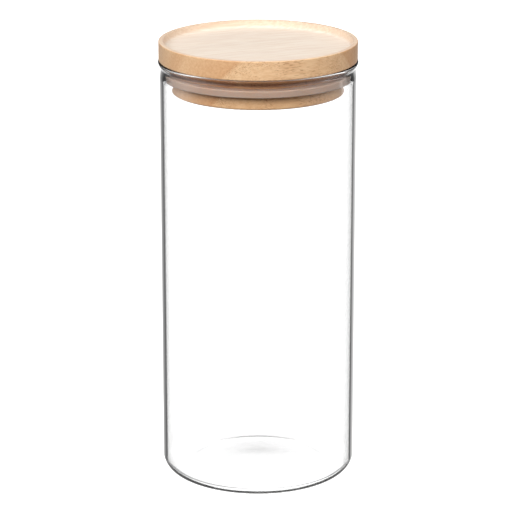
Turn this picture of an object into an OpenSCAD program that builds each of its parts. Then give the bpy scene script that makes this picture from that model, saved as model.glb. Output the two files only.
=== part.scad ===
/* [Glass] */
// Outside diameter of the straight glass wall
glass_d = 99; // [80:0.5:130]
// Height of the glass from its resting ring to the top of its lip
glass_h = 216.8; // [80:0.1:300]
// Thickness of the side wall
wall_t = 2.1; // [1.6:0.1:3]
// Thickness of the base over its resting ring
base_t = 3; // [2:0.1:4.5]
// Outside radius of the corner between the wall and the base
corner_r = 7.5; // [6:0.5:12]
// Width of the flat ring that the glass rests on
foot_w = 4.5; // [3:0.5:14]
// How far the middle of the base is pushed up
base_rise = 1.6; // [0.5:0.1:3]
// Height of the gentle step round the pushed-up middle of the underside
step_h = 0.3; // [0.2:0.05:0.8]
// Width of that step
step_w = 6; // [3:0.5:8]

/* [Lip] */
// Height of the flared, fire-polished lip
lip_h = 4; // [3:0.1:5]
// How far the lip stands out from the wall
lip_out = 0.8; // [0.3:0.1:1.5]
// Depth of the pinch in the wall under the lip
pinch = 0.4; // [0.1:0.05:0.6]
// Height over which the wall eases into the pinch
pinch_h = 6; // [3:0.5:10]

/* [Lid head] */
// Thickness of the lid's head
head_t = 9.7; // [7:0.1:16]
// How far the head reaches past the glass wall all round
head_over = 0.5; // [0:0.1:4]
// Width of the flat rim round the recess in the top
rim_w = 2.25; // [1.5:0.05:6]
// Depth of the recess in the top
recess_depth = 3.6; // [1:0.1:5]
// Width of the curved wall that runs down to the recess floor
cove_w = 2.75; // [1:0.05:6]
// Radius that eases the head's outer edges
edge_r = 0.5; // [0.2:0.1:1.5]

/* [Lid plug] */
// How far the plug reaches down into the mouth
plug_l = 16; // [13:0.1:24]
// Gap between the plug and the glass all round
plug_gap = 4; // [2.5:0.1:6]
// Radius that rounds the plug's lower edge
plug_edge_r = 1; // [0.3:0.1:2]

/* [Seal] */
// Height of the seal ring
seal_h = 3.6; // [2.5:0.1:5]
// Distance from the head's underside down to the seal's lower edge
seal_drop = 9.2; // [6:0.1:11]
// Depth of the groove in the plug that holds the seal's root
groove_depth = 2.1; // [1:0.1:4]
// Radius that rounds the seal's outer edges
seal_edge_r = 0.5; // [0.2:0.1:1]

/* [Hidden] */
$fn = 128;

// Running clearance between the seal and whatever it turns or slides on
fit_gap = 0.05;
// Gap between the lip and the head's underside
seat_gap = 0.1;
// Straight bore that is kept above the seal before the lip starts to open
lip_clear = 0.2;
// Steps in the larger arcs and in the small ones
arc_steps = 12;
edge_steps = 5;

wall_r = glass_d / 2;
bore_r = wall_r - wall_t;
foot_out_r = wall_r - corner_r;
foot_in_r = foot_out_r - foot_w;
inner_corner_r = corner_r - base_t;
lip_r = wall_r + lip_out;
lip_edge_z = glass_h - wall_t / 2;
pinch_z = glass_h - lip_h;

under_z = glass_h + seat_gap;
top_z = under_z + head_t;
head_r = wall_r + head_over;
floor_z = top_z - recess_depth;
floor_r = head_r - rim_w - cove_w;

plug_r = bore_r - plug_gap;
plug_z = under_z - plug_l;
seal_z = under_z - seal_drop;
groove_r = plug_r - groove_depth;
seal_in_r = groove_r + fit_gap;
seal_out_r = bore_r - fit_gap;

// Points along an elliptical arc about (r, z), from angle a0 to a1
function arc(r, z, rr, rz, a0, a1, steps) =
    [for (i = [0 : steps]) let (a = a0 + (a1 - a0) * i / steps) [r + rr * cos(a), z + rz * sin(a)]];

// Points along the shallow dome of the base, from radius r_from to r_to; its edge has radius r_edge and height z
function dome(r_from, r_to, r_edge, z) =
    [for (i = [0 : arc_steps])
        let (r = r_from + (r_to - r_from) * i / arc_steps)
        [r, z + base_rise * (1 + cos(180 * min(1, r / r_edge))) / 2]];

// Points of the gentle step of the underside, from the dome's edge down to the resting ring
function underside_step() =
    [for (i = [1 : arc_steps])
        let (t = i / arc_steps)
        [foot_in_r - step_w * (1 - t), step_h * (1 + cos(180 * t)) / 2]];

// Points of a smooth S-shaped step from (r0, z0) to (r1, z1)
function eased(r0, z0, r1, z1) =
    [for (i = [0 : arc_steps])
        let (t = i / arc_steps)
        [r0 + (r1 - r0) * (1 - cos(180 * t)) / 2, z0 + (z1 - z0) * t]];

// One blown piece: domed base, straight wall and a flared lip with a rounded edge
module glass_canister()
    color([0.86, 0.92, 0.93, 0.35])
        rotate_extrude()
            polygon(concat(
                dome(0, foot_in_r - step_w, foot_in_r - step_w, step_h),
                underside_step(),
                arc(foot_out_r, corner_r, corner_r, corner_r, -90, 0, arc_steps),
                eased(wall_r, pinch_z - pinch_h, wall_r - pinch, pinch_z),
                eased(wall_r - pinch, pinch_z, lip_r, lip_edge_z),
                arc(lip_r - wall_t / 2, lip_edge_z, wall_t / 2, wall_t / 2, 0, 180, arc_steps),
                eased(lip_r - wall_t, lip_edge_z, bore_r, under_z - seal_drop + seal_h + lip_clear),
                arc(bore_r - inner_corner_r, base_t + inner_corner_r, inner_corner_r, inner_corner_r,
                    0, -90, arc_steps),
                dome(foot_in_r, 0, foot_in_r, base_t)
            ));

// The head's section: a flat rim round a dished recess
module head_section()
    polygon(concat(
        [[0, under_z]],
        arc(head_r - edge_r, under_z + edge_r, edge_r, edge_r, -90, 0, edge_steps),
        arc(head_r - edge_r, top_z - edge_r, edge_r, edge_r, 0, 90, edge_steps),
        arc(floor_r, top_z, cove_w, recess_depth, 0, -90, arc_steps),
        [[0, floor_z]]
    ));

// The plug's section, with the groove for the seal
module plug_section()
    difference() {
        polygon(concat(
            [[0, plug_z]],
            arc(plug_r - plug_edge_r, plug_z + plug_edge_r, plug_edge_r, plug_edge_r, -90, 0, edge_steps),
            [[plug_r, under_z + edge_r], [0, under_z + edge_r]]
        ));
        translate([groove_r, seal_z - fit_gap])
            square([2 * groove_depth, seal_h + 2 * fit_gap]);
    }

// Head and plug turned from one block of wood
module wooden_lid()
    color([0.92, 0.78, 0.61])
        rotate_extrude() {
            head_section();
            plug_section();
        }

// Silicone ring that grips the bore
module seal_ring()
    color([0.80, 0.72, 0.67, 0.8])
        rotate_extrude()
            polygon(concat(
                [[seal_in_r, seal_z + seal_h], [seal_in_r, seal_z]],
                arc(seal_out_r - seal_edge_r, seal_z + seal_edge_r, seal_edge_r, seal_edge_r,
                    -90, 0, edge_steps),
                arc(seal_out_r - seal_edge_r, seal_z + seal_h - seal_edge_r, seal_edge_r, seal_edge_r,
                    0, 90, edge_steps)
            ));

glass_canister();
wooden_lid();
seal_ring();
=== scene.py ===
"""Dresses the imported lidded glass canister: blown glass, a turned wooden lid and a silicone seal."""

import logging
import math
from dataclasses import dataclass, field
from enum import Enum

import bmesh
import bpy
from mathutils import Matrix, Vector

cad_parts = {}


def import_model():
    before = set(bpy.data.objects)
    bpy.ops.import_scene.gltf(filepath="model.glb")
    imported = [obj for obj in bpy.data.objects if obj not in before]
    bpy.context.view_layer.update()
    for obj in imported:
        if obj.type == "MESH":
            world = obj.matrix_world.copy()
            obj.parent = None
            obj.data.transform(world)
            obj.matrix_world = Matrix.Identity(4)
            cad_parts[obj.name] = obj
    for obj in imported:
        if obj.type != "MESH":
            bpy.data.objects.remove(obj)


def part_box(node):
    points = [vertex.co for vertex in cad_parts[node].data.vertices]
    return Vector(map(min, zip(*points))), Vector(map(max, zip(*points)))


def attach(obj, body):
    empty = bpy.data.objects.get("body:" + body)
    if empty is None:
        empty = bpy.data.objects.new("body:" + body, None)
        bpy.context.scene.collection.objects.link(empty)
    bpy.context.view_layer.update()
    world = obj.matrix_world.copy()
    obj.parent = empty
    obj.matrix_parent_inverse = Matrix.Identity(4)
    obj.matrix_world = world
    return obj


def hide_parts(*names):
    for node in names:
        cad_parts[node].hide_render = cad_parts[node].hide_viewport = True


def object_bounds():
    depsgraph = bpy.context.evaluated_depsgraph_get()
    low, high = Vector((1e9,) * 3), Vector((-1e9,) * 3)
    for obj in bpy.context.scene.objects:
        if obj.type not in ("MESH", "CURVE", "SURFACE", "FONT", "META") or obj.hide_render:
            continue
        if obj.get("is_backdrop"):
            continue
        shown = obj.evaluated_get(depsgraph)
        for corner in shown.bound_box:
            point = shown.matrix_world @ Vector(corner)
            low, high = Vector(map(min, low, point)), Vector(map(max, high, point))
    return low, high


MM = 0.001
FULL_TURN = 2 * math.pi
WELD = 1e-7

log = logging.getLogger("canister")

Colour = tuple[float, float, float]
Stop = tuple[float, float]


def grey(value: float) -> tuple[float, float, float, float]:
    """An opaque grey of this linear value."""
    return (value, value, value, 1.0)


def opaque(colour: Colour) -> tuple[float, float, float, float]:
    """A linear colour with full alpha."""
    return (*colour, 1.0)


class NodeKind(Enum):
    """The shader nodes that the finishes are built from."""

    COORDINATES = "ShaderNodeTexCoord"
    MAPPING = "ShaderNodeMapping"
    NOISE = "ShaderNodeTexNoise"
    RAMP = "ShaderNodeValToRGB"
    RANGE = "ShaderNodeMapRange"
    MATHS = "ShaderNodeMath"
    MIX = "ShaderNodeMix"
    SPLIT = "ShaderNodeSeparateXYZ"
    BUMP = "ShaderNodeBump"
    FACING = "ShaderNodeLayerWeight"
    LIGHT_PATH = "ShaderNodeLightPath"
    BACKGROUND = "ShaderNodeBackground"
    WORLD_OUTPUT = "ShaderNodeOutputWorld"
    PRINCIPLED = "ShaderNodeBsdfPrincipled"
    OUTPUT = "ShaderNodeOutputMaterial"
    GROUP = "ShaderNodeGroup"
    GROUP_IN = "NodeGroupInput"
    GROUP_OUT = "NodeGroupOutput"


class Board:
    """Adds nodes to one node tree and wires them by socket name."""

    def __init__(self, tree: bpy.types.NodeTree) -> None:
        """Starts on an empty tree.

        Args:
            tree: The node tree to draw on; what it holds is cleared.
        """
        self.tree = tree
        tree.nodes.clear()

    def add(self, kind: NodeKind, wires: dict | None = None, **settings: object) -> bpy.types.Node:
        """Adds a node.

        Args:
            kind: Which node.
            wires: Input name or number to the socket that feeds it, or to its plain value.
            settings: Properties of the node itself.

        Returns:
            The new node.
        """
        node = self.tree.nodes.new(kind.value)
        for name, value in settings.items():
            setattr(node, name, value)
        for key, source in (wires or {}).items():
            if isinstance(source, bpy.types.NodeSocket):
                self.tree.links.new(source, node.inputs[key])
            else:
                node.inputs[key].default_value = source
        return node

    def maths(self, operation: str, a: object, b: object = 0.0, clamp: bool = False) -> bpy.types.NodeSocket:
        """Adds a Math node.

        Args:
            operation: What it works out.
            a: The first socket or number.
            b: The second.
            clamp: Whether the answer stays between 0 and 1.

        Returns:
            Its output.
        """
        node = self.add(NodeKind.MATHS, {0: a, 1: b}, operation=operation, use_clamp=clamp)
        return node.outputs[0]

    def noise(self, vector: object, scale: float, detail: float = 2.0, **more: float) -> bpy.types.NodeSocket:
        """Adds a noise.

        Args:
            vector: Where it is read.
            scale: How fine it is.
            detail: How many finer layers it has.
            more: Its other inputs.

        Returns:
            Its value.
        """
        wires = {"Vector": vector, "Scale": scale, "Detail": detail}
        wires |= {name.title(): value for name, value in more.items()}
        return self.add(NodeKind.NOISE, wires).outputs[0]

    def ease(self, value: object, low: float, high: float, to: Stop = (0.0, 1.0)) -> bpy.types.NodeSocket:
        """Adds a smooth step.

        Args:
            value: What it follows.
            low: Where it starts.
            high: Where it ends.
            to: Its two levels.

        Returns:
            Its value.
        """
        wires = {"Value": value, "From Min": low, "From Max": high, "To Min": to[0], "To Max": to[1]}
        return self.add(NodeKind.RANGE, wires, interpolation_type="SMOOTHSTEP").outputs[0]

    def blend(self, share: object, a: object, b: object, mode: str = "MIX") -> bpy.types.NodeSocket:
        """Adds a mix of two colours.

        Args:
            share: How much of the second.
            a: The first colour.
            b: The second colour.
            mode: How they are mixed.

        Returns:
            The mixed colour.
        """
        node = self.add(NodeKind.MIX, data_type="RGBA", blend_type=mode, clamp_factor=True)
        for socket, source in zip((node.inputs[0], node.inputs[6], node.inputs[7]), (share, a, b)):
            if isinstance(source, bpy.types.NodeSocket):
                self.tree.links.new(source, socket)
            else:
                socket.default_value = source
        return node.outputs[2]

    def ramp(self, value: object, stops: list[tuple[float, Colour]]) -> bpy.types.NodeSocket:
        """Adds a colour ramp.

        Args:
            value: What it follows.
            stops: Its places and colours.

        Returns:
            Its colour.
        """
        node = self.add(NodeKind.RAMP, {0: value})
        marks = node.color_ramp.elements
        while len(marks) < len(stops):
            marks.new(0.5)
        for mark, (place, colour) in zip(marks, stops):
            mark.position = place
            mark.color = opaque(colour)
        return node.outputs[0]


class Relief:
    """Node group shared by the finishes: fine unevenness of a handled surface."""

    NAME = "surface_relief"

    @classmethod
    def group(cls) -> bpy.types.NodeTree:
        """Builds the group once.

        Returns:
            The group, with inputs Vector, Broad Scale, Fine Scale and Fine Share, and with outputs Height
            and Mottle.
        """
        if cls.NAME in bpy.data.node_groups:
            return bpy.data.node_groups[cls.NAME]
        tree = bpy.data.node_groups.new(cls.NAME, "ShaderNodeTree")
        face = tree.interface
        face.new_socket(name="Vector", in_out="INPUT", socket_type="NodeSocketVector")
        for name, usual in (("Broad Scale", 40.0), ("Fine Scale", 900.0), ("Fine Share", 0.3)):
            socket = face.new_socket(name=name, in_out="INPUT", socket_type="NodeSocketFloat")
            socket.default_value = usual
        for name in ("Height", "Mottle"):
            face.new_socket(name=name, in_out="OUTPUT", socket_type="NodeSocketFloat")
        board = Board(tree)
        given = board.add(NodeKind.GROUP_IN).outputs
        broad = board.noise(given["Vector"], given["Broad Scale"], 2.0)
        fine = board.noise(given["Vector"], given["Fine Scale"], 3.0)
        share = board.maths("MULTIPLY", fine, given["Fine Share"])
        height = board.maths("ADD", broad, share)
        board.add(NodeKind.GROUP_OUT, {"Height": height, "Mottle": board.ease(broad, 0.3, 0.7)})
        return tree

    @classmethod
    def place(cls, board: Board, vector: object, broad: float, fine: float, share: float) -> bpy.types.Node:
        """Puts the group on a board with its own values.

        Args:
            board: The material's board.
            vector: Where the relief is read.
            broad: Broad Scale.
            fine: Fine Scale.
            share: Fine Share.

        Returns:
            The group's node.
        """
        node = board.add(NodeKind.GROUP, node_tree=cls.group())
        board.tree.links.new(vector, node.inputs["Vector"])
        node.inputs["Broad Scale"].default_value = broad
        node.inputs["Fine Scale"].default_value = fine
        node.inputs["Fine Share"].default_value = share
        return node


def new_material(name: str) -> tuple[bpy.types.Material, Board]:
    """A node material and the board of its tree."""
    material = bpy.data.materials.new(name)
    material.use_nodes = True
    return material, Board(material.node_tree)


@dataclass(frozen=True)
class ClearGlass:
    """Colourless glass with painted dark edges: its colour goes dark where a wall is looked along, standing
    in for the dark bands that a tube's edges show.

    Attributes:
        name: The material's name.
        clear_below: How edge-on a face may lie before the painted darkening starts.
        dark_above: How edge-on it lies when the painted darkening is full.
        painted_edge_shade: The painted tint there.
        ior: Refractive index.
    """

    name: str
    clear_below: float = 0.722
    dark_above: float = 0.738
    painted_edge_shade: float = 0.0
    ior: float = 1.47

    def material(self) -> bpy.types.Material:
        """Builds the material."""
        material, board = new_material(self.name)
        facing = board.add(NodeKind.FACING, {"Blend": 0.5}).outputs["Facing"]
        clear = (1.0, 1.0, 1.0)
        painted_edge_tint = (self.painted_edge_shade, self.painted_edge_shade, self.painted_edge_shade)
        # Painted shade: the glass's colour goes dark along its edges, standing in for the dark bands that
        # refraction gives there.
        tint = board.ramp(facing, [(self.clear_below, clear), (self.dark_above, painted_edge_tint)])
        shader = board.add(
            NodeKind.PRINCIPLED,
            {"Base Color": tint, "Roughness": 0.0, "IOR": self.ior, "Transmission Weight": 1.0},
        )
        board.add(NodeKind.OUTPUT, {"Surface": shader.outputs[0]})
        return material


@dataclass(frozen=True)
class TurnedWood:
    """Pale, fine-pored hardwood cut from one block, so that head and plug share their growth layers.

    Attributes:
        name: The material's name.
        grain_turn: Angle of the grain from +X, seen from above.
        layer_tilt: Turn about the grain that brings the growth layers level.
        layers: How warm each growth layer is, from 0 to 1, against its place across the layers.
        reach: First and last place across the layers, in metres.
        pale: Colour of the light layers.
        warm: Colour of the dark layers.
        pore: Colour inside the pores.
        cloud: Strength of the fine mottling.
        open_pored: Places across the layers between which the pores thin out.
        painted_sheen: Pale grey that the top is painted towards, as painted sheen and light on its upward
            faces.
        recess_painted_sheen: How far the floor of the recess goes towards it.
        rim_painted_sheen: How far the rim goes towards it.
        cove: Heights between which the first turns into the second.
        neck: Heights between which the painted shade on the wood above the seal grows in.
        plug_within: Radius that the plug stays within.
        neck_painted_shade: Painted shade that the colour of that wood is multiplied by, for the head's shadow
            on it.
        plug_painted_shade: Painted shade, darker and redder, that the colour of the whole plug is multiplied
            by.
        top_from: Height above which the top's faces lie.
        top_within: Radius that they stay within.
    """

    name: str = "turned_hardwood"
    grain_turn: float = math.radians(22)
    layer_tilt: float = math.radians(-35.4)
    reach: Stop = (0.080, 0.170)
    layers: tuple[Stop, ...] = (
        (0.080, 0.20),
        (0.0960, 0.0),
        (0.0972, 0.85),
        (0.106, 0.50),
        (0.113, 0.20),
        (0.117, 0.60),
        (0.121, 0.55),
        (0.125, 0.15),
        (0.135, 0.15),
        (0.139, 0.60),
        (0.143, 0.30),
        (0.151, 0.75),
        (0.159, 0.35),
    )
    pale: Colour = (0.745, 0.515, 0.305)
    warm: Colour = (0.62, 0.36, 0.185)
    pore: Colour = (0.34, 0.16, 0.07)
    cloud: float = 0.2
    open_pored: Stop = (0.0962, 0.0975)
    # Painted sheen: the top is painted paler and greyer than the wood, for the sheen and light that it
    # catches.
    painted_sheen: Colour = (0.84, 0.80, 0.74)
    recess_painted_sheen: float = 0.76
    rim_painted_sheen: float = 0.42
    cove: Stop = (223.0 * MM, 224.4 * MM)
    neck: Stop = (208.6 * MM, 210.2 * MM)
    plug_within: float = 44.0 * MM
    # Painted shade: the wood above the seal is multiplied darker for the head's shadow, and the whole plug
    # darker and redder for its shade.
    neck_painted_shade: Colour = (0.70, 0.58, 0.52)
    plug_painted_shade: Colour = (1.0, 0.93, 0.85)
    top_from: float = 222.7 * MM
    top_within: float = 49.6 * MM

    @staticmethod
    def part(board: Board, place: bpy.types.NodeSocket, within: float, rise: Stop) -> bpy.types.NodeSocket:
        """The share by which each point lies inside a radius and above a height.

        Args:
            board: The material's board.
            place: Object coordinates.
            within: The radius.
            rise: Heights between which the share grows from 0 to 1.

        Returns:
            A number socket.
        """
        x, y, z = board.add(NodeKind.SPLIT, {0: place}).outputs
        square = board.maths("ADD", board.maths("MULTIPLY", x, x), board.maths("MULTIPLY", y, y))
        inside = board.ease(board.maths("SQRT", square), within, within + 0.2 * MM, (1.0, 0.0))
        return board.maths("MULTIPLY", inside, board.ease(z, *rise))

    def tone(self, board: Board, along: bpy.types.NodeSocket) -> bpy.types.NodeSocket:
        """How warm the wood is at each point.

        Args:
            board: The material's board.
            along: Coordinates with X along the grain and Y across the layers.

        Returns:
            A colour socket, grey from 0 to 1.
        """
        drawn = board.add(NodeKind.MAPPING, {"Vector": along, "Scale": (0.15, 1.0, 0.6)}).outputs[0]
        sway = board.maths("MULTIPLY", board.maths("SUBTRACT", board.noise(drawn, 45.0, 2.0), 0.5), 0.006)
        across = board.add(NodeKind.SPLIT, {0: along}).outputs[1]
        place = board.add(
            NodeKind.RANGE,
            {"Value": board.maths("ADD", across, sway), "From Min": self.reach[0], "From Max": self.reach[1]},
        ).outputs[0]
        span = self.reach[1] - self.reach[0]
        marks = [((where - self.reach[0]) / span, (warmth,) * 3) for where, warmth in self.layers]
        return board.ramp(place, marks)

    @staticmethod
    def drawn(board: Board, along: bpy.types.NodeSocket, stretch: float) -> bpy.types.NodeSocket:
        """Coordinates that are squeezed along the grain, which draws what is read at them out into fibres."""
        return board.add(NodeKind.MAPPING, {"Vector": along, "Scale": (stretch, 1.0, 1.0)}).outputs[0]

    def pores(self, board: Board, along: bpy.types.NodeSocket) -> bpy.types.NodeSocket:
        """The share by which each point lies in an open pore."""
        dashes = board.noise(self.drawn(board, along, 0.09), 3000.0, 1.0)
        patches = board.noise(along, 70.0, 2.0)
        few = board.maths("MULTIPLY", board.ease(dashes, 0.55, 0.65), board.ease(patches, 0.32, 0.55))
        across = board.add(NodeKind.SPLIT, {0: along}).outputs[1]
        return board.maths("MULTIPLY", few, board.ease(across, *self.open_pored, (1.0, 0.2)))

    def painted_light_colour(
        self, board: Board, place: bpy.types.NodeSocket, colour: bpy.types.NodeSocket
    ) -> bpy.types.NodeSocket:
        """Paints shade onto the plug and, darker still, onto its neck, and paints a pale sheen onto the top.

        Args:
            board: The material's board.
            place: Object coordinates.
            colour: The plain wood.

        Returns:
            The colour with painted shade and painted sheen, by part of the lid.
        """
        top = self.part(board, place, self.top_within, (self.top_from - 0.2 * MM, self.top_from))
        below = board.maths("SUBTRACT", 1.0, top)
        plug = board.maths("MULTIPLY", self.part(board, place, self.plug_within, (0.0, 0.1)), below)
        neck = board.maths("MULTIPLY", self.part(board, place, self.plug_within, self.neck), below)
        # Painted shade: the plug is multiplied darker and redder, and the neck above the seal darker still.
        colour = board.blend(plug, colour, opaque(self.plug_painted_shade), "MULTIPLY")
        colour = board.blend(neck, colour, opaque(self.neck_painted_shade), "MULTIPLY")
        height = board.add(NodeKind.SPLIT, {0: place}).outputs[2]
        # Painted sheen: the top is blended towards a pale grey, more on the recess floor than on the rim.
        painted_sheen_share = board.maths("MULTIPLY", top, board.ease(height, *self.cove, (self.recess_painted_sheen, self.rim_painted_sheen)))
        return board.blend(painted_sheen_share, colour, opaque(self.painted_sheen))

    def material(self) -> bpy.types.Material:
        """Builds the material."""
        material, board = new_material(self.name)
        place = board.add(NodeKind.COORDINATES).outputs["Object"]
        level = board.add(NodeKind.MAPPING, {"Vector": place, "Rotation": (0, 0, -self.grain_turn)})
        wood = board.add(NodeKind.MAPPING, {"Vector": level.outputs[0], "Rotation": (self.layer_tilt, 0, 0)})
        along = wood.outputs[0]
        warm = opaque(self.warm)
        colour = board.blend(self.tone(board, along), opaque(self.pale), warm)
        fibres = self.drawn(board, along, 0.06)
        streak = board.ease(board.noise(fibres, 1100.0, 3.0), 0.35, 0.75, (0.0, 0.16))
        colour = board.blend(streak, colour, warm, "MULTIPLY")
        few = self.pores(board, along)
        colour = board.blend(board.maths("MULTIPLY", few, 0.7), colour, opaque(self.pore))
        # Adds the painted shade on the plug and neck and the painted sheen on the top.
        colour = self.painted_light_colour(board, place, colour)
        flecks = board.noise(self.drawn(board, along, 0.07), 900.0, 3.0)
        colour = board.blend(board.ease(flecks, 0.35, 0.65, (0.0, self.cloud)), colour, warm, "MULTIPLY")
        relief = Relief.place(board, fibres, 120.0, 2600.0, 0.5)
        sunk = board.maths("SUBTRACT", relief.outputs["Height"], few)
        bump = board.add(NodeKind.BUMP, {"Height": sunk, "Strength": 0.12, "Distance": 0.0002})
        rough = board.ease(relief.outputs["Mottle"], 0.0, 1.0, (0.46, 0.56))
        shader = board.add(
            NodeKind.PRINCIPLED,
            {
                "Base Color": colour,
                "Roughness": rough,
                "Sheen Weight": 0.15,
                "Sheen Roughness": 0.35,
                "Normal": bump.outputs[0],
            },
        )
        board.add(NodeKind.OUTPUT, {"Surface": shader.outputs[0]})
        return material


@dataclass(frozen=True)
class MilkySilicone:
    """Translucent silicone that lets some of the wood behind it through.

    Attributes:
        name: The material's name.
        body: Its own colour.
        depth: How far light travels inside it.
    """

    name: str = "milky_silicone"
    body: Colour = (0.44, 0.305, 0.23)
    depth: Colour = (0.004, 0.0028, 0.002)

    def material(self) -> bpy.types.Material:
        """Builds the material."""
        material, board = new_material(self.name)
        place = board.add(NodeKind.COORDINATES).outputs["Object"]
        relief = Relief.place(board, place, 90.0, 1500.0, 0.2)
        cloudy = board.blend(
            board.maths("MULTIPLY", relief.outputs["Mottle"], 0.2), opaque(self.body), grey(0.42)
        )
        bump = board.add(
            NodeKind.BUMP, {"Height": relief.outputs["Height"], "Strength": 0.05, "Distance": 0.0002}
        )
        shader = board.add(
            NodeKind.PRINCIPLED,
            {
                "Base Color": cloudy,
                "Roughness": 0.42,
                "IOR": 1.41,
                "Subsurface Weight": 0.6,
                "Subsurface Radius": self.depth,
                "Subsurface Scale": 1.0,
                "Normal": bump.outputs[0],
            },
        )
        board.add(NodeKind.OUTPUT, {"Surface": shader.outputs[0]})
        return material


@dataclass
class Outline:
    """Half of a round piece's section, drawn as radius and height in metres."""

    points: list[tuple[float, float]] = field(default_factory=list)

    def to(self, *points: tuple[float, float]) -> "Outline":
        """Adds straight lines to these points."""
        self.points += points
        return self

    def arc(
        self, centre: tuple[float, float], radii: tuple[float, float], sweep: tuple[float, float], steps: int
    ) -> "Outline":
        """Adds an elliptical arc.

        Args:
            centre: Radius and height of its centre.
            radii: Its reach along the radius and along the height.
            sweep: First and last angle in degrees, 0 outwards and 90 up.
            steps: How many straight pieces it has.

        Returns:
            The outline.
        """
        for step in range(steps + 1):
            angle = math.radians(sweep[0] + (sweep[1] - sweep[0]) * step / steps)
            out, up = radii[0] * math.cos(angle), radii[1] * math.sin(angle)
            self.points.append((centre[0] + out, centre[1] + up))
        return self

    def ease(self, start: tuple[float, float], end: tuple[float, float], steps: int = 14) -> "Outline":
        """Adds a smooth S-shaped step.

        Args:
            start: Its first radius and height.
            end: Its last radius and height.
            steps: How many straight pieces it has.

        Returns:
            The outline.
        """
        for step in range(steps + 1):
            share = step / steps
            swing = (1 - math.cos(math.pi * share)) / 2
            out, up = (end[0] - start[0]) * swing, (end[1] - start[1]) * share
            self.points.append((start[0] + out, start[1] + up))
        return self

    def held(self, margin: float) -> "Outline":
        """Adds a point just inside both ends of each long line, so that shading stays flat between them."""
        firm = [self.points[0]]
        for a, b in zip(self.points, self.points[1:]):
            run = math.dist(a, b)
            if run > 4 * margin:
                for share in (margin / run, 1 - margin / run):
                    firm.append((a[0] + (b[0] - a[0]) * share, a[1] + (b[1] - a[1]) * share))
            firm.append(b)
        self.points = firm
        return self

    def spun(self, name: str, turns: int, closed: bool = False) -> bpy.types.Object:
        """Spins the outline about Z into a smooth solid.

        Args:
            name: The new object's name.
            turns: Facets round the axis.
            closed: True if the last point joins the first, as on a ring.

        Returns:
            The object, at the origin.
        """
        shape = bmesh.new()
        line = [shape.verts.new((r, 0, z)) for r, z in self.points]
        pairs = list(zip(line, line[1:])) + ([(line[-1], line[0])] if closed else [])
        edges = [shape.edges.new(pair) for pair in pairs]
        bmesh.ops.spin(
            shape,
            geom=line + edges,
            cent=(0, 0, 0),
            axis=(0, 0, 1),
            angle=FULL_TURN,
            steps=turns,
            use_merge=True,
        )
        bmesh.ops.remove_doubles(shape, verts=shape.verts[:], dist=WELD)
        bmesh.ops.recalc_face_normals(shape, faces=shape.faces[:])
        for face in shape.faces:
            face.smooth = True
        mesh = bpy.data.meshes.new(name)
        shape.to_mesh(mesh)
        shape.free()
        piece = bpy.data.objects.new(name, mesh)
        bpy.context.scene.collection.objects.link(piece)
        return piece


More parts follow.
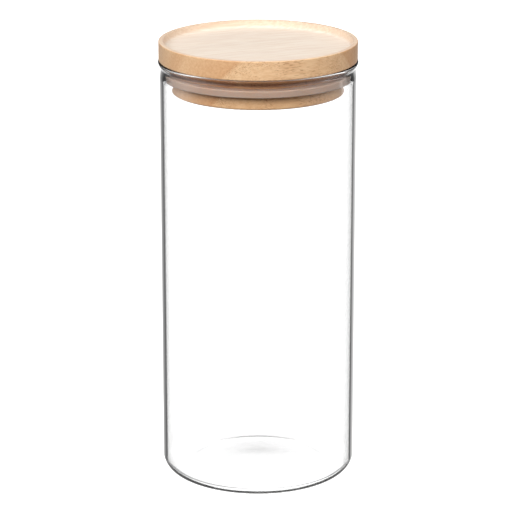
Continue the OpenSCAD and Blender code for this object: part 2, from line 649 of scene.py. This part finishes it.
@dataclass
class GlassCanister:
    """The blown glass: pushed-up base, straight wall and a flared lip with a rounded edge.

    Attributes:
        node: The CAD node that it replaces.
        wall: Thickness of the side wall.
        base: Thickness of the base over its resting ring.
        corner: Outside radius of the lower corner.
        foot: Width of the flat resting ring.
        rise: How far the middle of the base is pushed up.
        step_rise: Height of the gentle step where the pushed-up middle meets the resting ring.
        step_width: Width of that step.
        lip_height: Height of the flared lip.
        lip_out: How far the lip stands out from the wall.
        pinch: Depth of the pinch under the lip.
        pinch_height: Height over which the wall eases into it.
        lip_clear: Straight bore above the seal before the lip starts to open.
        turns: Facets round the axis.
    """

    node: str = "glass_canister"
    wall: float = 2.1 * MM
    base: float = 3.0 * MM
    corner: float = 7.5 * MM
    foot: float = 4.5 * MM
    rise: float = 1.6 * MM
    step_rise: float = 0.3 * MM
    step_width: float = 6.0 * MM
    lip_height: float = 4.0 * MM
    lip_out: float = 0.8 * MM
    pinch: float = 0.4 * MM
    pinch_height: float = 6.0 * MM
    lip_clear: float = 0.2 * MM
    turns: int = 320

    def dome(self, start: float, end: float, height: float, ring: float, steps: int = 28) -> list[Stop]:
        """Points along the pushed-up middle of the base.

        Args:
            start: The first radius.
            end: The last radius.
            height: Height of its edge.
            ring: Radius of its edge.
            steps: How many straight pieces it has.

        Returns:
            Radius and height of each point.
        """
        points = []
        for step in range(steps + 1):
            radius = start + (end - start) * step / steps
            lift = self.rise * (1 + math.cos(math.pi * min(1.0, radius / ring))) / 2
            points.append((radius, height + lift))
        return points

    def step_down(self, ring: float, height: float, steps: int = 16) -> list[Stop]:
        """Points down the gentle step round the pushed-up middle of the underside.

        Args:
            ring: Radius where it starts.
            height: Height where it ends.
            steps: How many straight pieces it has.

        Returns:
            Radius and height of each point.
        """
        points = []
        for step in range(1, steps + 1):
            share = step / steps
            lift = self.step_rise * (1 + math.cos(math.pi * share)) / 2
            points.append((ring + self.step_width * share, height + lift))
        return points

    def build(self) -> bpy.types.Object:
        """Builds the glass and hands it its clear finishes: outside wall, bends and inside."""
        low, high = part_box(self.node)
        lip, top = high.x, high.z
        outer = lip - self.lip_out
        inner = outer - self.wall
        round_edge = self.wall / 2
        pinch_z = top - self.lip_height
        foot_out = outer - self.corner
        foot_in = foot_out - self.foot
        step_in = foot_in - self.step_width
        fillet = self.corner - self.base
        bore_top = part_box("seal_ring")[1].z + self.lip_clear
        outline = Outline()
        outline.to(*self.dome(0, step_in, low.z + self.step_rise, step_in))
        outline.to(*self.step_down(step_in, low.z))
        outline.arc((foot_out, low.z + self.corner), (self.corner, self.corner), (-90, 0), 28)
        outline.ease((outer, pinch_z - self.pinch_height), (outer - self.pinch, pinch_z))
        outline.ease((outer - self.pinch, pinch_z), (lip, top - round_edge))
        outline.arc((lip - round_edge, top - round_edge), (round_edge, round_edge), (0, 180), 24)
        outline.ease((lip - self.wall, top - round_edge), (inner, bore_top))
        outline.arc((inner - fillet, low.z + self.base + fillet), (fillet, fillet), (0, -90), 24)
        outline.to(*self.dome(foot_in, 0, low.z + self.base, foot_in))
        piece = outline.held(0.5 * MM).spun("canister_glass", self.turns)
        piece.data.materials.append(ClearGlass("clear_glass_outside").material())
        piece.data.materials.append(
            ClearGlass("clear_glass_bends", clear_below=0.50, dark_above=0.76, painted_edge_shade=0.05).material()
        )
        piece.data.materials.append(
            ClearGlass("clear_glass_inside", clear_below=0.60, dark_above=0.82, painted_edge_shade=0.9).material()
        )
        bore = inner + self.wall / 4
        for face in piece.data.polygons:
            centre = face.center
            inward = centre.xy.length < bore and (face.normal.xy.dot(centre.xy) < 0 or face.normal.z > 0.2)
            bent = not low.z + self.corner < centre.z < pinch_z - self.pinch_height / 2
            face.material_index = 2 if inward else int(bent and centre.xy.length > foot_out)
        piece.visible_shadow = False
        piece.visible_diffuse = False
        return dressed(piece, "canister", self.node)


@dataclass
class WoodenLid:
    """The turned lid: a dished head over a plug that is grooved for the seal.

    Attributes:
        node: The CAD node that it replaces.
        head: Thickness of the head.
        rim: Width of the flat rim.
        dish: Depth of the recess.
        cove: Width of the curved wall down to its floor.
        edge: Radius of the head's outer edges.
        plug: Radius of the plug.
        plug_edge: Radius of the plug's lower edge.
        groove: Depth of the groove for the seal.
        clearance: Play of the seal in the groove.
        turns: Facets round the axis.
    """

    node: str = "wooden_lid"
    head: float = 9.7 * MM
    rim: float = 2.25 * MM
    dish: float = 3.6 * MM
    cove: float = 2.75 * MM
    edge: float = 0.5 * MM
    plug: float = 43.4 * MM
    plug_edge: float = 1.0 * MM
    groove: float = 2.1 * MM
    clearance: float = 0.05 * MM
    turns: int = 256

    def build(self) -> bpy.types.Object:
        """Builds the lid and gives it its wood."""
        low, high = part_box(self.node)
        seal_low, seal_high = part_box("seal_ring")
        radius = high.x
        under = high.z - self.head
        floor = radius - self.rim - self.cove
        outline = Outline()
        outline.to((0, low.z))
        outline.arc(
            (self.plug - self.plug_edge, low.z + self.plug_edge), (self.plug_edge,) * 2, (-90, 0), 10
        )
        outline.to(
            (self.plug, seal_low.z - self.clearance),
            (self.plug - self.groove, seal_low.z - self.clearance),
            (self.plug - self.groove, seal_high.z + self.clearance),
            (self.plug, seal_high.z + self.clearance),
            (self.plug, under),
        )
        outline.arc((radius - self.edge, under + self.edge), (self.edge,) * 2, (-90, 0), 8)
        outline.arc((radius - self.edge, high.z - self.edge), (self.edge,) * 2, (0, 90), 8)
        outline.arc((floor, high.z), (self.cove, self.dish), (0, -90), 20)
        outline.to((0, high.z - self.dish))
        piece = outline.held(0.15 * MM).spun("lid_wood", self.turns)
        piece.data.materials.append(TurnedWood().material())
        return dressed(piece, "lid", self.node)


@dataclass
class SealRing:
    """The silicone ring round the plug.

    Attributes:
        node: The CAD node that it replaces.
        edge: Radius of its outer edges.
        root: Inner radius.
        turns: Facets round the axis.
    """

    node: str = "seal_ring"
    edge: float = 0.5 * MM
    root: float = 41.35 * MM
    turns: int = 256

    def build(self) -> bpy.types.Object:
        """Builds the ring and gives it its silicone."""
        low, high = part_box(self.node)
        radius = high.x
        outline = Outline().to((self.root, high.z), (self.root, low.z))
        outline.arc((radius - self.edge, low.z + self.edge), (self.edge,) * 2, (-90, 0), 8)
        outline.arc((radius - self.edge, high.z - self.edge), (self.edge,) * 2, (0, 90), 8)
        outline.to((self.root, high.z))
        piece = outline.held(0.1 * MM).spun("seal_silicone", self.turns)
        piece.data.materials.append(MilkySilicone().material())
        return dressed(piece, "seal", self.node)


def dressed(piece: bpy.types.Object, body: str, node: str) -> bpy.types.Object:
    """Puts a finished piece on its body in place of its CAD node."""
    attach(piece, body)
    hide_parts(node)
    return piece


@dataclass
class Softbox:
    """A large soft lamp that the camera doesn't see.

    Attributes:
        name: The lamp's name.
        place: Where it stands.
        aim: What it points at.
        size: Width and height.
        power: Watts.
        tint: Colour of the light.
        mirrored: Whether shiny faces mirror it.
    """

    name: str
    place: tuple[float, float, float]
    aim: tuple[float, float, float]
    size: tuple[float, float]
    power: float
    tint: Colour = (1.0, 1.0, 1.0)
    mirrored: bool = True

    def build(self) -> bpy.types.Object:
        """Hangs the lamp."""
        light = bpy.data.lights.new(self.name, "AREA")
        light.shape = "RECTANGLE"
        light.size, light.size_y = self.size
        light.energy = self.power
        light.color = self.tint
        lamp = bpy.data.objects.new(self.name, light)
        lamp.location = self.place
        lamp.rotation_mode = "QUATERNION"
        lamp.rotation_quaternion = (Vector(self.aim) - Vector(self.place)).to_track_quat("-Z", "Y")
        lamp.visible_camera = False
        lamp.visible_transmission = False
        lamp.visible_glossy = self.mirrored
        bpy.context.scene.collection.objects.link(lamp)
        return lamp


@dataclass
class Surroundings:
    """Light from all round: plain white to look at, and soft panels and strips to be lit by and mirrored.

    Azimuths are degrees from +Y, the far side of the object, growing towards +X.

    Attributes:
        seen: Strength of the white that the camera sees.
        seen_through: Strength of the white that it sees through the glass, to make up for the glass's loss.
        below: Diffuse light from below.
        level: Diffuse light from the horizon.
        above: Diffuse light from overhead.
        mirrored: What shiny faces mirror, as azimuth and strength.
        brightest: The strength that 1 stands for in the list above.
        panel_tops: Share of that strength that is left high above the horizon.
        panel_feet: How much stronger it is far below the horizon.
        warmth: Colour of the diffuse light from the sides and below.
        overhead: Its colour from overhead.
    """

    seen: float = 1.0
    seen_through: float = 1.5
    below: float = 0.12
    level: float = 0.16
    above: float = 0.66
    mirrored: tuple[Stop, ...] = (
        (-180, 0.05),
        (-125, 0.10),
        (-100, 0.26),
        (-86, 0.50),
        (-76, 0.50),
        (-60, 0.30),
        (-36, 0.12),
        (-24, 0.32),
        (-8, 0.52),
        (8, 0.55),
        (25, 0.54),
        (33, 0.13),
        (53, 0.18),
        (57, 0.85),
        (60, 0.85),
        (64, 0.28),
        (90, 0.34),
        (128, 0.16),
        (133, 0.07),
        (180, 0.05),
    )
    brightest: float = 2.5
    panel_tops: float = 0.12
    panel_feet: float = 1.2
    warmth: Colour = (1.0, 0.76, 0.58)
    overhead: Colour = (1.0, 0.94, 0.86)

    def build(self) -> None:
        """Builds the world and hands it to the scene."""
        world = bpy.data.worlds.new("studio")
        world.use_nodes = True
        board = Board(world.node_tree)
        heading = board.add(NodeKind.COORDINATES).outputs["Generated"]
        x, y, z = board.add(NodeKind.SPLIT, {0: heading}).outputs
        turn = board.maths("ARCTAN2", x, y)
        place = board.add(
            NodeKind.RANGE, {"Value": turn, "From Min": -math.pi, "From Max": math.pi}
        ).outputs[0]
        marks = [((azimuth + 180) / 360, (strength,) * 3) for azimuth, strength in self.mirrored]
        panels = board.maths("MULTIPLY", board.ramp(place, marks), self.brightest)
        panels = board.maths("MULTIPLY", panels, board.ease(z, -0.25, -0.06, (1.0, self.panel_tops)))
        panels = board.maths("MULTIPLY", panels, board.ease(z, -0.8, -0.35, (self.panel_feet, 1.0)))
        low = board.ease(z, -0.5, 0.0, (self.below, self.level))
        high = board.ease(z, 0.0, 0.9, (0.0, self.above - self.level))
        path = board.add(NodeKind.LIGHT_PATH).outputs
        soft = board.maths("ADD", low, high)
        lit = board.add(NodeKind.MIX, {0: path["Is Diffuse Ray"], 2: panels, 3: soft})
        bounces = board.maths("ADD", path["Glossy Depth"], path["Diffuse Depth"])
        straight = board.maths("LESS_THAN", bounces, 0.5)
        through = board.maths("MULTIPLY", path["Is Transmission Ray"], straight)
        around = board.add(NodeKind.MIX, {0: through, 2: lit.outputs[0], 3: self.seen_through})
        strength = board.add(NodeKind.MIX, {0: path["Is Camera Ray"], 2: around.outputs[0], 3: self.seen})
        tint = board.blend(board.ease(z, 0.1, 0.7), opaque(self.warmth), opaque(self.overhead))
        colour = board.blend(path["Is Diffuse Ray"], grey(1.0), tint)
        glow = board.add(NodeKind.BACKGROUND, {"Color": colour, "Strength": strength.outputs[0]})
        board.add(NodeKind.WORLD_OUTPUT, {"Surface": glow.outputs[0]})
        world.cycles.sampling_method = "NONE"
        bpy.context.scene.world = world


@dataclass
class Studio:
    """Plain pale floor, soft light and the camera.

    Attributes:
        floor_reach: Half the width of the floor.
        floor_white: How much light the floor gives back.
        floor_glow: Its own faint light, which keeps it even out to the edges of the picture.
        elevation: The camera's angle above the horizon.
        distance: From the camera to the middle of the object.
        lens: Focal length in millimetres on the sensor below.
        sensor: Sensor width in millimetres.
        shift: The small shift that centres the object in the frame.
    """

    floor_reach: float = 30.0
    floor_white: float = 0.8
    floor_glow: float = 0.9
    elevation: float = math.radians(16.85)
    distance: float = 1.3774
    lens: float = 187.84
    sensor: float = 36.0
    shift: tuple[float, float] = (-0.00127, -0.00205)

    def floor(self) -> None:
        """Lays the floor."""
        shape = bmesh.new()
        bmesh.ops.create_grid(shape, x_segments=1, y_segments=1, size=self.floor_reach)
        mesh = bpy.data.meshes.new("floor")
        shape.to_mesh(mesh)
        shape.free()
        sheet = bpy.data.objects.new("floor", mesh)
        sheet.location.z = -0.0001
        sheet.visible_diffuse = False
        sheet.visible_glossy = False
        sheet.visible_transmission = False
        bpy.context.scene.collection.objects.link(sheet)
        material, board = new_material("pale_floor")
        shader = board.add(
            NodeKind.PRINCIPLED,
            {
                "Base Color": grey(self.floor_white),
                "Roughness": 1.0,
                "Specular IOR Level": 0.0,
                "Emission Color": grey(1.0),
                "Emission Strength": self.floor_glow,
            },
        )
        board.add(NodeKind.OUTPUT, {"Surface": shader.outputs[0]})
        mesh.materials.append(material)
        sheet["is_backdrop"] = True

    def lights(self, middle: Vector) -> None:
        """Hangs the lamps and sets the light from all round."""
        Surroundings().build()
        aim = tuple(middle)
        cool = (0.97, 1.0, 1.03)
        Softbox("key_softbox", (-0.42, -1.08, 1.08), aim, (2.4, 1.0), 33.0, cool, mirrored=False).build()
        Softbox("fill_softbox", (1.05, -0.6, 0.9), aim, (0.8, 0.8), 5.0, mirrored=False).build()
        Softbox("glint_softbox", (-0.7, -1.15, 0.95), aim, (0.45, 0.35), 1.8).build()

    def camera(self, middle: Vector) -> None:
        """Sets up the camera."""
        data = bpy.data.cameras.new("camera")
        data.sensor_width = self.sensor
        data.lens = self.lens
        data.shift_x, data.shift_y = self.shift
        data.clip_end = 100.0
        camera = bpy.data.objects.new("camera", data)
        back = Vector((0, -math.cos(self.elevation), math.sin(self.elevation)))
        camera.location = middle + back * self.distance
        camera.rotation_mode = "QUATERNION"
        camera.rotation_quaternion = (-back).to_track_quat("-Z", "Y")
        bpy.context.scene.collection.objects.link(camera)
        bpy.context.scene.camera = camera

    def build(self, middle: Vector) -> None:
        """Sets the whole stage round the middle of the object."""
        self.floor()
        self.lights(middle)
        self.camera(middle)
        scene = bpy.context.scene
        scene.view_settings.view_transform = "Standard"
        scene.cycles.use_denoising = True


def main() -> None:
    """Loads the frame, builds each piece in order and sets the stage."""
    logging.basicConfig(level=logging.INFO)
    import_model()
    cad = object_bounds()
    middle = Vector((0, 0, (cad[0].z + cad[1].z) / 2))
    Studio().build(middle)
    for maker in (GlassCanister(), WoodenLid(), SealRing()):
        piece = maker.build()
        log.info("%s: %d faces", piece.name, len(piece.data.polygons))


if __name__ == "__main__":
    main()
